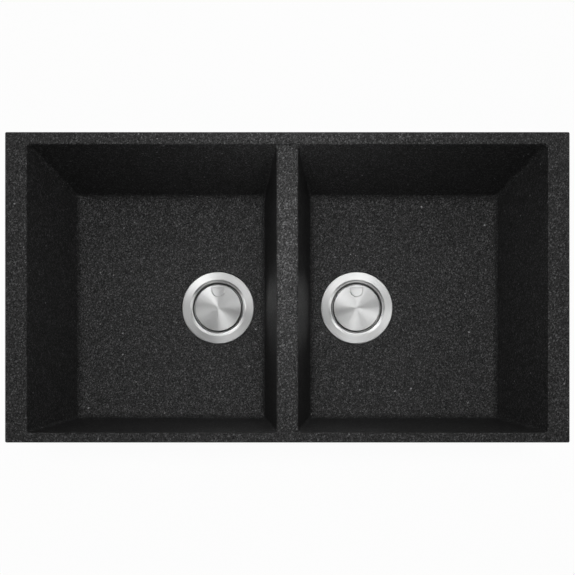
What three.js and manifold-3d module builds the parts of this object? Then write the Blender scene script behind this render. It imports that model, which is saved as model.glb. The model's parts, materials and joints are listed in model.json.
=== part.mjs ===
// Double bowl kitchen sink: one moulded composite body, and in the floor of each bowl a basket strainer waste
// with a flat cover.
// Millimetres, +Z up. x runs along the sink, +Y is the back edge, and z = 0 is the plane of the waste outlets' ends.
import * as THREE from 'three';
import { mergeVertices } from 'three/addons/utils/BufferGeometryUtils.js';
import Module from 'manifold-3d';

const wasm = await Module();
wasm.setup();

// ---------------------------------------------------------------- driving dimensions

// Left between two pieces that touch, and the running clearance of pieces that slide together.
const seatGap = 0.3;
// How far a cutting tool runs past the face that it opens.
const overrun = 5;

// The sink body.
const overallWidth = 760;
const overallDepth = 418;
const outlineRadius = 2;
const rimThickness = 10;
const rimEdgeRadius = 1.2;
const sideRim = 29.4;
const backRim = 16.5;
const frontRim = 13.4;
const dividerWidth = 28.2;
const dividerDrop = 4;
const dividerEdgeRadius = 3;
const bowlDepth = 195;
const bowlDraftAcross = 4.5;
const bowlDraftFrontBack = 3.4;
const bowlCornerRadius = 5;
const floorFillet = 12;
const wall = 8;
const floorThickness = 9;
const rimUndersideFillet = 4;
const floorFall = 1.2;
const floorFallMargin = 1;
const webCount = 3;
const webThickness = 6;
const webDepth = 62;
const webPitch = 120;

// The waste seat in the floor.
const drainFromDivider = 95.6;
const wasteHoleClearance = 3.9;
const seatRecess = 3;
const seatThickness = 8;
const seatBossMargin = 6;

// The strainer flange and its cup.
const flangeWidth = 17.1;
const sheetThickness = 1.2;
const flangeEdgeRadius = 1;
const flangeEdgeDrop = 2.2;
const throatRadius = 39.9;
const throatLipRadius = 4.3;
const throatTaper = 1.4;
const coneHeight = 7;
const coneAboveStopper = 0.2;
const cupBottomRadius = 30;
const cupDrainCount = 8;
const cupDrainRadius = 4.2;
const cupDrainFromScrewHead = 11;

// The seals.
const flangeSealThickness = 1.6;
const undersideSealThickness = 3;
const sealInnerMargin = 1;
const sealOuterMargin = 2.5;

// The plastic waste body under the floor.
const bodyFlangeThickness = 4;
const bodyWall = 2.5;
const funnelTaper = 2;
const funnelFootAboveCup = 3.5;
const outletBore = 19.4;
const outletRadius = 23.9;
const outletLength = 28;
const outletBelowHubTop = 9;
const hubBelowCup = 3.5;
const hubWall = 4;
const hubHeight = 18.5;
const spiderArms = 3;
const spiderArmThickness = 4;
const spiderArmHeight = 12;
const gussetCount = 6;
const gussetThickness = 3;
const gussetHeight = 24;
const gussetMargin = 1.5;
// How far ribs and webs run into the wall that they join.
const ribRoot = 1;

// The clamp screw and the nut that is moulded into the hub.
const screwRadius = 3;
const screwHeadRadius = 7.5;
const screwHeadHeight = 10;
const screwChamfer = 1;
const screwSocketRadius = 4.2;
const screwSocketDepth = 8;
const screwSlotWidth = 2;
const screwSlotDepth = 2.5;
const screwTipShortOfNut = 1;
const nutRadius = 8;
const nutHeight = 8;
const nutAboveHubEnd = 2.5;

// The basket and the parts of its centre.
const basketRimDepth = 8;
const basketClearance = 1.1;
const basketRimWidth = 1.6;
const basketWallTaper = 7.7;
const basketFloorDepth = 33;
const basketSheet = 0.9;
const basketSlotCount = 10;
const basketSlotWidth = 2.6;
const basketSlotFromHub = 2;
const basketSlotFromFloorEdge = 4.5;
const basketSlotFromRimAndFloor = 7.5;
const stopperHubRadius = 9;
const stopperHubHeight = 4;
const stopperThickness = 3.5;
const stopperLipDrop = 1;
const washerRadius = 14;
const washerThickness = 1.2;
const stemRadius = 4;
const stemCollarRadius = 7;
const stemCollarHeight = 2;
const stemChamfer = 1;
const stemTopDepth = 3;
const stemTailAboveGripTip = 3;
const gripWall = 1.4;
const gripFlangeRadius = 6.5;
const gripFlangeHeight = 1.5;
const gripAboveScrewHead = 2;
const gripTipClearance = 1;
const gripTipTaper = 0.6;
const gripBeadHeight = 1.5;
const gripBeadLength = 2;
const gripBeadRelief = 0.5;
const gripSlotWidth = 1.2;
const gripSlotHeight = 6;

// The cover.
const coverClearance = 3.6;
const coverThickness = 1;
const coverSkirt = 5;
const coverEdgeRadius = 1.2;
const recessDepth = 2.4;
const recessFloorThickness = 1;
const recessFromClip = 4.3;
const recessCornerMargin = 2.2;
const recessHalfWidth = 10.3;
const recessStraightLength = 4.9;
const recessDraft = 1.2;
const clipRadius = 9;
const clipFlangeRadius = 13;
const clipFlangeThickness = 1.5;
const clipDepth = 14;

// How finely round pieces are faceted.
const wideSteps = 32;
const narrowSteps = 14;
const cornerFacets = 3;
const edgeFacets = 3;
const filletFacets = 4;
const drainFacets = 8;
const lipFacets = 3;
const sheetEdgeFacets = 1;
const coverEdgeFacets = 2;
const recessEndFacets = 6;
const slopeCornerFacets = 3;
const slopeSideFacets = 7;
const hexagon = 6;

// ---------------------------------------------------------------- sizes that follow from them

// Depths of the waste are measured down from the top of its flange.
const seatDepth = 2 * seatGap + flangeSealThickness + sheetThickness;
const undersideDepth = seatDepth + seatThickness;
const bodyTopDepth = undersideDepth + 2 * seatGap + undersideSealThickness;
const basketUndersideDepth = basketFloorDepth + basketSheet;
const stopperTopDepth = basketUndersideDepth + seatGap;
const stopperDiscDepth = stopperTopDepth + stopperHubHeight;
const stopperBottomDepth = stopperDiscDepth + stopperThickness;
const washerBottomDepth = stopperBottomDepth + seatGap + washerThickness;
const gripTopDepth = washerBottomDepth + seatGap;
const screwHeadTopDepth = gripTopDepth + gripFlangeHeight + gripAboveScrewHead;
const screwHeadBottomDepth = screwHeadTopDepth + screwHeadHeight;
const gripTipDepth = screwHeadTopDepth + screwSocketDepth - gripTipClearance;
const stemTailDepth = gripTipDepth - stemTailAboveGripTip;
const coneTopDepth = stopperDiscDepth - coneAboveStopper;
const coneBottomDepth = coneTopDepth + coneHeight;
const cupDepth = screwHeadBottomDepth + seatGap;
const cupUndersideDepth = cupDepth + sheetThickness;
const hubTopDepth = cupUndersideDepth + hubBelowCup;
const nutTopDepth = hubTopDepth + hubHeight - nutAboveHubEnd - nutHeight;
const funnelFootDepth = cupUndersideDepth - funnelFootAboveCup;
const outletTopDepth = hubTopDepth + outletBelowHubTop;
const outletEndDepth = outletTopDepth + outletLength;

// Radii of the waste, from the throat outwards and inwards.
const flangeRadius = throatRadius + flangeWidth;
const wasteHole = throatRadius + sheetThickness + wasteHoleClearance;
const sealInnerRadius = wasteHole + sealInnerMargin;
const funnelRadius = sealInnerRadius;
const funnelBottomRadius = funnelRadius - funnelTaper;
const bodyFlangeRadius = flangeRadius;
const seatBossRadius = flangeRadius + seatBossMargin;
const cupDrainCircle = screwHeadRadius + cupDrainFromScrewHead;
const basketRimRadius = throatRadius - basketClearance;
const basketWallTopRadius = basketRimRadius - basketRimWidth;
const basketFloorRadius = basketWallTopRadius - basketWallTaper;
const gripRadius = screwSocketRadius - seatGap;
const gripBore = gripRadius - gripWall;
const stemTailRadius = gripBore - seatGap;
const coverRadius = throatRadius - coverClearance;
const recessInner = clipFlangeRadius + recessFromClip;
const recessOuter = Math.sqrt((coverRadius - recessCornerMargin) ** 2 - recessHalfWidth ** 2);

// Heights above the plane of the outlets' ends.
const flangeHeight = outletEndDepth;
const floorAtDrainHeight = flangeHeight - seatDepth + seatRecess;
const floorHeight = floorAtDrainHeight + floorFall;
const rimHeight = floorHeight + bowlDepth;
const rimUndersideHeight = rimHeight - rimThickness;

const drainX = dividerWidth / 2 + drainFromDivider;
const bowlFront = frontRim - overallDepth / 2;
const bowlBack = overallDepth / 2 - backRim;
const drainY = (bowlFront + bowlBack) / 2;

// ---------------------------------------------------------------- solids and shapes

// A closed geometry as a solid for joining and cutting, whichever way round its faces were listed.
function toSolid(geometry) {
  const plain = new THREE.BufferGeometry();
  plain.setAttribute('position', geometry.getAttribute('position').clone());
  if (geometry.index) plain.setIndex(geometry.index.clone());
  const merged = mergeVertices(plain, 1e-4);
  const faces = [];
  for (let i = 0; i < merged.index.count; i += 3) {
    const [a, b, c] = [0, 1, 2].map((corner) => merged.index.getX(i + corner));
    if (a !== b && b !== c && c !== a) faces.push(a, b, c);
  }
  const build = (triVerts) => new wasm.Manifold(new wasm.Mesh({
    numProp: 3,
    vertProperties: new Float32Array(merged.attributes.position.array),
    triVerts: new Uint32Array(triVerts),
  }));
  const solid = build(faces);
  return solid.volume() < 0 ? build(faces.reverse()) : solid;
}

function toGeometry(solid) {
  const mesh = solid.getMesh();
  const geometry = new THREE.BufferGeometry();
  geometry.setAttribute('position', new THREE.BufferAttribute(new Float32Array(mesh.vertProperties), 3));
  geometry.setIndex([...mesh.triVerts]);
  geometry.computeVertexNormals();
  return geometry;
}

const point = (r, z) => new THREE.Vector2(r, z);

// Points of an arc in the plane of a profile, from one angle in degrees to another.
function arc(centreR, centreZ, radius, from, to, steps) {
  return Array.from({ length: steps + 1 }, (_, i) => {
    const angle = THREE.MathUtils.degToRad(from + (to - from) * i / steps);
    return point(centreR + radius * Math.cos(angle), centreZ + radius * Math.sin(angle));
  });
}

// A body of revolution about z. A profile that doesn't run from axis to axis is closed on itself.
function revolve(profile, steps = wideSteps) {
  const onAxis = profile[0].x === 0 && profile.at(-1).x === 0;
  const outline = onAxis ? profile : [...profile, profile[0]];
  return toSolid(new THREE.LatheGeometry(outline, steps).rotateX(Math.PI / 2));
}

// A ring of rectangular section between two radii and two heights.
function ring(inner, outer, bottom, top, steps = wideSteps) {
  const profile = [point(inner, bottom), point(outer, bottom), point(outer, top), point(inner, top)];
  return revolve(profile, steps);
}

function cylinder(radius, bottom, top, steps = wideSteps) {
  return toSolid(new THREE.CylinderGeometry(radius, radius, top - bottom, steps)
    .rotateX(Math.PI / 2)
    .translate(0, 0, (bottom + top) / 2));
}

function box(width, depth, height, x, y, z) {
  return toSolid(new THREE.BoxGeometry(width, depth, height).translate(x, y, z));
}

// The closed section of a pressed sheet: the path along its visible side and the same path one thickness behind
// it, to the left of the way it runs.
function sheetProfile(path, thickness) {
  const behind = path.map((here, i) => {
    const before = path[Math.max(i - 1, 0)];
    const after = path[Math.min(i + 1, path.length - 1)];
    const incoming = here.clone().sub(i > 0 ? before : here);
    const outgoing = after.clone().sub(i < path.length - 1 ? here : after);
    const directions = [incoming, outgoing].filter((side) => side.length() > 0).map((side) => side.normalize());
    const mean = directions.reduce((sum, side) => sum.add(side), point(0, 0)).normalize();
    const reach = thickness / mean.dot(directions[0]);
    return point(here.x - mean.y * reach, here.y + mean.x * reach);
  });
  return [...path, ...behind.reverse()];
}

// Repeats a solid about the z axis.
function aroundAxis(solid, count, offset = 0) {
  const turned = (i) => solid.rotate([0, 0, offset + 360 * i / count]);
  return Array.from({ length: count }, (_, i) => turned(i)).reduce((all, one) => all.add(one));
}

// A ring of points round a rectangle with rounded corners, anticlockwise from the right end of the back corner.
function rectangleRing({ left, right, front, back }, radius, z, cornerSteps = cornerFacets, sideSteps = 1) {
  const corners = [
    [right - radius, back - radius],
    [left + radius, back - radius],
    [left + radius, front + radius],
    [right - radius, front + radius],
  ];
  const arcs = corners.map(([x, y], quarter) => arc(x, y, radius, 90 * quarter, 90 * (quarter + 1), cornerSteps));
  return arcs.flatMap((corner, quarter) => {
    const next = arcs[(quarter + 1) % 4][0];
    const alongSide = Array.from({ length: sideSteps - 1 }, (_, i) => (
      corner.at(-1).clone().lerp(next, (i + 1) / sideSteps)
    ));
    return [...corner, ...alongSide].map((p) => new THREE.Vector3(p.x, p.y, z));
  });
}

// A ring of points round a circle, turned so that it pairs with a rectangle's ring of as many points.
function circleRing(x, y, radius, z, cornerSteps, sideSteps) {
  const count = 4 * (cornerSteps + sideSteps);
  const start = 45 - 180 * cornerSteps / count;
  return Array.from({ length: count }, (_, i) => {
    const angle = THREE.MathUtils.degToRad(start + 360 * i / count);
    return new THREE.Vector3(x + radius * Math.cos(angle), y + radius * Math.sin(angle), z);
  });
}

// A closed solid through rings of as many points each, listed from the bottom up.
function loft(rings) {
  const count = rings[0].length;
  const positions = rings.flat().flatMap((p) => [p.x, p.y, p.z]);
  const faces = [];
  for (let level = 0; level < rings.length - 1; level += 1) {
    for (let i = 0; i < count; i += 1) {
      const a = level * count + i;
      const b = level * count + (i + 1) % count;
      faces.push(a, b, b + count, a, b + count, a + count);
    }
  }
  const top = (rings.length - 1) * count;
  for (let i = 1; i < count - 1; i += 1) {
    faces.push(0, i + 1, i, top, top + i, top + i + 1);
  }
  const geometry = new THREE.BufferGeometry();
  geometry.setAttribute('position', new THREE.Float32BufferAttribute(positions, 3));
  geometry.setIndex(faces);
  return toSolid(geometry);
}

// ---------------------------------------------------------------- the sink body

const bowlOpening = (side) => {
  const nearDivider = side * dividerWidth / 2;
  const nearEnd = side * (overallWidth / 2 - sideRim);
  return {
    left: Math.min(nearDivider, nearEnd),
    right: Math.max(nearDivider, nearEnd),
    front: bowlFront,
    back: bowlBack,
  };
};

// How far a drafted wall and the fillet at its foot have come in from the opening, at a depth below the rim.
function wallInset(depth, draftDegrees, totalDepth, filletRadius) {
  const draft = THREE.MathUtils.degToRad(draftDegrees);
  const tangentDepth = totalDepth - filletRadius * (1 - Math.sin(draft));
  if (depth <= tangentDepth) return depth * Math.tan(draft);
  const centreInset = totalDepth * Math.tan(draft) + filletRadius * (1 - Math.sin(draft)) / Math.cos(draft);
  const rise = depth - (totalDepth - filletRadius);
  return centreInset - Math.sqrt(Math.max(filletRadius ** 2 - rise ** 2, 0));
}

// The bowl's ring at a depth below the rim, moved outwards by a wall where the outside is meant.
function bowlRing(side, depth, outwards, extraDepth) {
  const opening = bowlOpening(side);
  const filletRadius = floorFillet + outwards;
  const totalDepth = bowlDepth + extraDepth;
  const across = wallInset(depth, bowlDraftAcross, totalDepth, filletRadius) - outwards;
  const frontBack = wallInset(depth, bowlDraftFrontBack, totalDepth, filletRadius) - outwards;
  const outline = {
    left: opening.left + across,
    right: opening.right - across,
    front: opening.front + frontBack,
    back: opening.back - frontBack,
  };
  return rectangleRing(outline, bowlCornerRadius + outwards, rimHeight - depth);
}

const grown = (outline, by) => ({
  left: outline.left - by,
  right: outline.right + by,
  front: outline.front - by,
  back: outline.back + by,
});

// Depths at which the fillet at the foot of the walls is faceted, from the floor up.
function filletDepths(totalDepth, filletRadius) {
  return Array.from({ length: filletFacets + 1 }, (_, i) => {
    const angle = Math.PI / 2 * (1 - i / filletFacets);
    return totalDepth - filletRadius * (1 - Math.sin(angle));
  });
}

function bowlCavity(side) {
  const walls = filletDepths(bowlDepth, floorFillet).map((depth) => bowlRing(side, depth, 0, 0));
  const mouth = arc(0, 0, rimEdgeRadius, 180, 90, edgeFacets).map(({ x, y }) => rectangleRing(
    grown(bowlOpening(side), rimEdgeRadius + x),
    bowlCornerRadius + rimEdgeRadius + x,
    rimHeight - rimEdgeRadius + y,
  ));
  const above = rectangleRing(
    grown(bowlOpening(side), rimEdgeRadius),
    bowlCornerRadius + rimEdgeRadius,
    rimHeight + overrun,
  );
  return loft([...walls, ...mouth, above]);
}

function bowlOutside(side) {
  const walls = filletDepths(bowlDepth + floorThickness, floorFillet + wall)
    .map((depth) => bowlRing(side, depth, wall, floorThickness));
  const opening = bowlOpening(side);
  const underRim = arc(0, 0, rimUndersideFillet, 180, 90, edgeFacets).map(({ x, y }) => {
    const depth = rimThickness + rimUndersideFillet - y;
    const across = depth * Math.tan(THREE.MathUtils.degToRad(bowlDraftAcross));
    const frontBack = depth * Math.tan(THREE.MathUtils.degToRad(bowlDraftFrontBack));
    const flare = wall + rimUndersideFillet + x;
    const outline = {
      left: opening.left + across - flare,
      right: opening.right - across + flare,
      front: opening.front + frontBack - flare,
      back: opening.back - frontBack + flare,
    };
    return rectangleRing(outline, bowlCornerRadius + flare, rimHeight - depth);
  });
  const top = underRim.at(-1).map((p) => new THREE.Vector3(p.x, p.y, rimUndersideHeight + rimThickness / 2));
  return loft([...walls, ...underRim, top]);
}

function rimSlab() {
  const outline = {
    left: -overallWidth / 2,
    right: overallWidth / 2,
    front: -overallDepth / 2,
    back: overallDepth / 2,
  };
  const topEdge = arc(0, 0, rimEdgeRadius, 0, 90, edgeFacets).map(({ x, y }) => rectangleRing(
    grown(outline, x - rimEdgeRadius),
    outlineRadius,
    rimHeight - rimEdgeRadius + y,
  ));
  return loft([rectangleRing(outline, outlineRadius, rimUndersideHeight), ...topEdge]);
}

// The gently sloping part of the floor, which runs the water down to the waste.
function floorSlope(side) {
  const inset = (draft) => wallInset(bowlDepth, draft, bowlDepth, floorFillet) + floorFallMargin;
  const opening = bowlOpening(side);
  const edge = {
    left: opening.left + inset(bowlDraftAcross),
    right: opening.right - inset(bowlDraftAcross),
    front: opening.front + inset(bowlDraftFrontBack),
    back: opening.back - inset(bowlDraftFrontBack),
  };
  const radius = flangeRadius + seatGap;
  return loft([
    circleRing(side * drainX, drainY, radius, floorAtDrainHeight, slopeCornerFacets, slopeSideFacets),
    rectangleRing(edge, bowlCornerRadius, floorHeight, slopeCornerFacets, slopeSideFacets),
    rectangleRing(edge, bowlCornerRadius, floorHeight + overrun, slopeCornerFacets, slopeSideFacets),
  ]);
}

// The divider between the bowls stands lower than the rim, with both its long edges rounded.
function dividerCut() {
  const length = bowlBack - bowlFront;
  const middle = (bowlFront + bowlBack) / 2;
  const top = rimHeight - dividerDrop;
  const width = dividerWidth + 2 * (bowlCornerRadius + rimEdgeRadius);
  const drop = box(width, length, dividerDrop + overrun, 0, middle, top + (dividerDrop + overrun) / 2);
  return [-1, 1].reduce((cut, side) => {
    const edge = side * dividerWidth / 2;
    const centre = side * (dividerWidth / 2 - dividerEdgeRadius);
    const corner = new THREE.Shape();
    corner.moveTo(edge + side * overrun, top + overrun);
    corner.lineTo(centre, top + overrun);
    arc(centre, top - dividerEdgeRadius, dividerEdgeRadius, 90, 90 - 90 * side, filletFacets)
      .forEach(({ x, y }) => corner.lineTo(x, y));
    corner.lineTo(edge + side * overrun, top - dividerEdgeRadius);
    const edgeTool = new THREE.ExtrudeGeometry(corner, { depth: length, bevelEnabled: false })
      .rotateX(Math.PI / 2)
      .translate(0, bowlBack, 0);
    return cut.add(toSolid(edgeTool));
  }, drop);
}

// Webs that tie the two bowls together under the divider. At its foot a web ends in the middle of the bowls' walls.
function webs() {
  const spread = (rimThickness + webDepth) * Math.tan(THREE.MathUtils.degToRad(bowlDraftAcross));
  const width = dividerWidth + 2 * spread - wall;
  return Array.from({ length: webCount }, (_, i) => {
    const y = drainY + (i - (webCount - 1) / 2) * webPitch;
    return box(width, webThickness, webDepth, 0, y, rimUndersideHeight - webDepth / 2 + ribRoot);
  }).reduce((all, one) => all.add(one));
}

function wasteBoss(side) {
  const bottom = flangeHeight - undersideDepth;
  return cylinder(seatBossRadius, bottom, floorHeight - floorThickness / 2)
    .translate([side * drainX, drainY, 0]);
}

function wasteSeat(side) {
  const seat = flangeHeight - seatDepth;
  return cylinder(flangeRadius + 2 * seatGap, seat, floorHeight + overrun)
    .add(cylinder(wasteHole, seat - seatThickness - overrun, floorHeight))
    .translate([side * drainX, drainY, 0]);
}

function sinkBody() {
  const sides = [-1, 1];
  const outside = sides.reduce((all, side) => all.add(bowlOutside(side)).add(wasteBoss(side)), rimSlab())
    .add(webs());
  const hollowed = sides.reduce((all, side) => (
    all.subtract(bowlCavity(side)).subtract(floorSlope(side)).subtract(wasteSeat(side))
  ), outside);
  return hollowed.subtract(dividerCut());
}

// ---------------------------------------------------------------- the fixed pieces of a waste

// The radius of the throat and cup at a depth, on the side that the water meets.
function cupRadius(depth) {
  if (depth <= coneTopDepth) {
    const run = (depth - throatLipRadius) / (coneTopDepth - throatLipRadius);
    return throatRadius - throatTaper * run;
  }
  const run = Math.min((depth - coneTopDepth) / (coneBottomDepth - coneTopDepth), 1);
  return THREE.MathUtils.lerp(throatRadius - throatTaper, cupBottomRadius, run);
}

function strainerFlange() {
  const path = [
    point(flangeRadius, -flangeEdgeDrop),
    ...arc(flangeRadius - flangeEdgeRadius, -flangeEdgeRadius, flangeEdgeRadius, 0, 90, sheetEdgeFacets),
    ...arc(throatRadius + throatLipRadius, -throatLipRadius, throatLipRadius, 90, 180, lipFacets),
    point(cupRadius(coneTopDepth), -coneTopDepth),
    point(cupBottomRadius, -coneBottomDepth),
    point(cupBottomRadius, -cupDepth),
    point(screwRadius + seatGap, -cupDepth),
  ];
  const drain = cylinder(cupDrainRadius, -cupDepth - overrun, -cupDepth + overrun, drainFacets)
    .translate([cupDrainCircle, 0, 0]);
  return revolve(sheetProfile(path, sheetThickness)).subtract(aroundAxis(drain, cupDrainCount));
}

function flangeSeal() {
  const bottom = -seatDepth + seatGap;
  return ring(sealInnerRadius, flangeRadius - sealOuterMargin, bottom, bottom + flangeSealThickness);
}

function undersideSeal() {
  const top = -undersideDepth - seatGap;
  return ring(sealInnerRadius, bodyFlangeRadius, top - undersideSealThickness, top);
}

function wasteBody() {
  const top = -bodyTopDepth;
  const outletTop = -outletTopDepth;
  const outletEnd = -outletEndDepth;
  const funnelFoot = -funnelFootDepth;
  const shell = revolve([
    point(funnelRadius, top),
    point(funnelBottomRadius, funnelFoot),
    point(outletBore, outletTop),
    point(outletBore, outletEnd),
    point(outletRadius, outletEnd),
    point(outletRadius, outletTop - bodyWall),
    point(funnelBottomRadius + bodyWall, funnelFoot - bodyWall / 2),
    point(funnelRadius + bodyWall, top - bodyFlangeThickness),
    point(bodyFlangeRadius, top - bodyFlangeThickness),
    point(bodyFlangeRadius, top),
  ]);
  const gussetOutline = new THREE.Shape();
  gussetOutline.moveTo(funnelRadius + ribRoot, top - ribRoot);
  gussetOutline.lineTo(bodyFlangeRadius - gussetMargin, top - ribRoot);
  gussetOutline.lineTo(bodyFlangeRadius - gussetMargin, top - bodyFlangeThickness - ribRoot);
  gussetOutline.lineTo(funnelBottomRadius + ribRoot, top - bodyFlangeThickness - gussetHeight);
  const gusset = toSolid(new THREE.ExtrudeGeometry(gussetOutline, { depth: gussetThickness, bevelEnabled: false })
    .translate(0, 0, -gussetThickness / 2)
    .rotateX(Math.PI / 2));
  const hubBottom = -hubTopDepth - hubHeight;
  const arm = box(
    outletBore + bodyWall,
    spiderArmThickness,
    spiderArmHeight,
    (outletBore + bodyWall) / 2,
    0,
    hubBottom + spiderArmHeight / 2,
  );
  const hub = cylinder(nutRadius + hubWall, hubBottom, -hubTopDepth, narrowSteps);
  const nutPocket = cylinder(
    nutRadius + seatGap,
    -nutTopDepth - nutHeight - seatGap,
    -nutTopDepth + seatGap,
    hexagon,
  );
  const screwHole = cylinder(screwRadius + seatGap, -nutTopDepth, -hubTopDepth + overrun, narrowSteps);
  return shell
    .add(aroundAxis(gusset, gussetCount))
    .add(hub)
    .add(aroundAxis(arm, spiderArms, 90))
    .subtract(nutPocket)
    .subtract(screwHole);
}

function hubNut() {
  const bottom = -nutTopDepth - nutHeight;
  return cylinder(nutRadius, bottom, -nutTopDepth, hexagon)
    .subtract(cylinder(screwRadius + seatGap, bottom - overrun, overrun - nutTopDepth, narrowSteps));
}

function clampScrew() {
  const tip = -nutTopDepth - nutHeight + screwTipShortOfNut;
  const headTop = -screwHeadTopDepth;
  const screw = revolve([
    point(0, tip),
    point(screwRadius - screwChamfer, tip),
    point(screwRadius, tip + screwChamfer),
    point(screwRadius, -screwHeadBottomDepth),
    point(screwHeadRadius, -screwHeadBottomDepth),
    point(screwHeadRadius, headTop - screwChamfer),
    point(screwHeadRadius - screwChamfer, headTop),
    point(screwSocketRadius, headTop),
    point(screwSocketRadius, headTop - screwSocketDepth),
    point(0, headTop - screwSocketDepth),
  ], narrowSteps);
  const slotHeight = screwSlotDepth + overrun;
  const slot = box(3 * screwHeadRadius, screwSlotWidth, slotHeight, 0, 0, headTop - screwSlotDepth + slotHeight / 2);
  return screw.subtract(slot);
}

// ---------------------------------------------------------------- the basket, which lifts out

function basket() {
  const path = [
    point(basketRimRadius, -basketRimDepth - basketRimWidth),
    point(basketRimRadius, -basketRimDepth - basketRimWidth / 2),
    point(basketRimRadius - basketRimWidth / 2, -basketRimDepth),
    point(basketWallTopRadius, -basketRimDepth - basketRimWidth / 2),
    point(basketFloorRadius, -basketFloorDepth),
    point(stemRadius + seatGap, -basketFloorDepth),
  ];
  const floorSlotInner = stopperHubRadius + basketSlotFromHub;
  const floorSlotOuter = basketFloorRadius - basketSlotFromFloorEdge;
  const floorSlot = box(
    floorSlotOuter - floorSlotInner,
    basketSlotWidth,
    2 * overrun,
    (floorSlotInner + floorSlotOuter) / 2,
    0,
    -basketFloorDepth,
  );
  const wallSlot = box(
    2 * basketWallTaper,
    basketSlotWidth,
    basketFloorDepth - basketRimDepth - 2 * basketSlotFromRimAndFloor,
    (basketWallTopRadius + basketFloorRadius) / 2,
    0,
    -(basketRimDepth + basketFloorDepth) / 2,
  );
  return revolve(sheetProfile(path, basketSheet))
    .subtract(aroundAxis(floorSlot, basketSlotCount))
    .subtract(aroundAxis(wallSlot, basketSlotCount, 180 / basketSlotCount));
}

// The stopper's lip lies along the cone of the cup, and its hub holds it a little below the basket, so that the
// slots in the basket's floor stay open.
function basketSeal() {
  const slope = Math.atan2(throatRadius - throatTaper - cupBottomRadius, coneBottomDepth - coneTopDepth);
  const clearOfCone = seatGap / Math.cos(slope);
  const lipTop = stopperDiscDepth + stopperLipDrop;
  return revolve([
    point(stemRadius + seatGap, -stopperBottomDepth),
    point(cupRadius(stopperBottomDepth) - clearOfCone, -stopperBottomDepth),
    point(cupRadius(lipTop) - clearOfCone, -lipTop),
    point(basketFloorRadius, -stopperDiscDepth),
    point(stopperHubRadius, -stopperDiscDepth),
    point(stopperHubRadius, -stopperTopDepth),
    point(stemRadius + seatGap, -stopperTopDepth),
  ]);
}

function sealWasher() {
  return ring(stemRadius + seatGap, washerRadius, -washerBottomDepth, washerThickness - washerBottomDepth, narrowSteps);
}

function stem() {
  const shoulder = -gripTopDepth;
  const collarBottom = seatGap - basketFloorDepth;
  return revolve([
    point(0, -stemTailDepth),
    point(stemTailRadius, -stemTailDepth),
    point(stemTailRadius, shoulder + seatGap),
    point(stemRadius, shoulder + seatGap),
    point(stemRadius, collarBottom),
    point(stemCollarRadius, collarBottom),
    point(stemCollarRadius, collarBottom + stemCollarHeight),
    point(stemRadius, collarBottom + stemCollarHeight + stemChamfer),
    point(stemRadius, -stemTopDepth - stemChamfer),
    point(stemRadius - stemChamfer, -stemTopDepth),
    point(0, -stemTopDepth),
  ], narrowSteps);
}

// The split end of the basket's centre, which springs into the hollow head of the clamp screw.
function stemGrip() {
  const tip = -gripTipDepth;
  const top = -gripTopDepth;
  const grip = revolve([
    point(gripBore, tip),
    point(gripRadius - gripTipTaper, tip),
    point(gripRadius, tip + gripBeadHeight),
    point(gripRadius - gripBeadRelief, tip + gripBeadHeight + gripBeadLength),
    point(gripRadius - gripBeadRelief, top - gripFlangeHeight),
    point(gripFlangeRadius, top - gripFlangeHeight),
    point(gripFlangeRadius, top),
    point(gripBore, top),
  ], narrowSteps);
  const slot = box(
    3 * gripRadius,
    gripSlotWidth,
    gripSlotHeight + overrun,
    0,
    0,
    tip + (gripSlotHeight - overrun) / 2,
  );
  return grip.subtract(slot.add(slot.rotate([0, 0, 90])));
}

// ---------------------------------------------------------------- the cover, which lifts off the stem

// The D of the finger recess: straight towards the edge of the cover and round towards its middle.
function recessOutline(inset) {
  const outer = recessOuter - inset;
  const halfWidth = recessHalfWidth - inset;
  const roundEnd = recessOuter - recessStraightLength;
  const roundLength = roundEnd - recessInner - inset;
  const shape = new THREE.Shape();
  shape.moveTo(halfWidth, outer);
  shape.lineTo(-halfWidth, outer);
  shape.absellipse(0, roundEnd, halfWidth, roundLength, Math.PI, 2 * Math.PI, false);
  shape.closePath();
  return shape;
}

function recessTool(inset, bottom, top) {
  const ringAt = (by, z) => recessOutline(by)
    .getPoints(recessEndFacets)
    .slice(0, -1)
    .map((p) => new THREE.Vector3(p.x, p.y, z));
  return loft([ringAt(inset + recessDraft, bottom), ringAt(inset, 0), ringAt(inset, top)]);
}

function cover() {
  const plate = revolve([
    point(coverRadius, -coverSkirt),
    ...arc(coverRadius - coverEdgeRadius, -coverEdgeRadius, coverEdgeRadius, 0, 90, coverEdgeFacets),
    point(0, 0),
    point(0, -coverThickness),
    point(coverRadius - coverThickness - coverEdgeRadius, -coverThickness),
    point(coverRadius - coverThickness, -coverThickness - coverEdgeRadius),
    point(coverRadius - coverThickness, -coverSkirt),
  ]);
  const pocket = recessTool(-recessFloorThickness, -recessDepth - recessFloorThickness, -coverThickness / 2);
  return plate.add(pocket).subtract(recessTool(0, -recessDepth, overrun));
}

function coverClip() {
  const top = -coverThickness - seatGap;
  const socketTop = -stemTopDepth + seatGap;
  return revolve([
    point(stemRadius + seatGap, -clipDepth),
    point(clipRadius, -clipDepth),
    point(clipRadius, top - clipFlangeThickness),
    point(clipFlangeRadius, top - clipFlangeThickness),
    point(clipFlangeRadius, top),
    point(0, top),
    point(0, socketTop),
    point(stemRadius + seatGap, socketTop),
  ], narrowSteps);
}

// ---------------------------------------------------------------- the assembly

const finishes = {
  composite: { color: 0x2b2b2c, roughness: 0.7, metalness: 0 },
  brushedSteel: { color: 0xb9b9b7, roughness: 0.35, metalness: 1 },
  brass: { color: 0xb08d4c, roughness: 0.4, metalness: 1 },
  plastic: { color: 0xd9d9d6, roughness: 0.6, metalness: 0 },
  rubber: { color: 0x1c1c1c, roughness: 0.85, metalness: 0 },
};

function piece(name, solid, finish) {
  const mesh = new THREE.Mesh(toGeometry(solid), new THREE.MeshStandardMaterial(finishes[finish]));
  mesh.name = name;
  return mesh;
}

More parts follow.
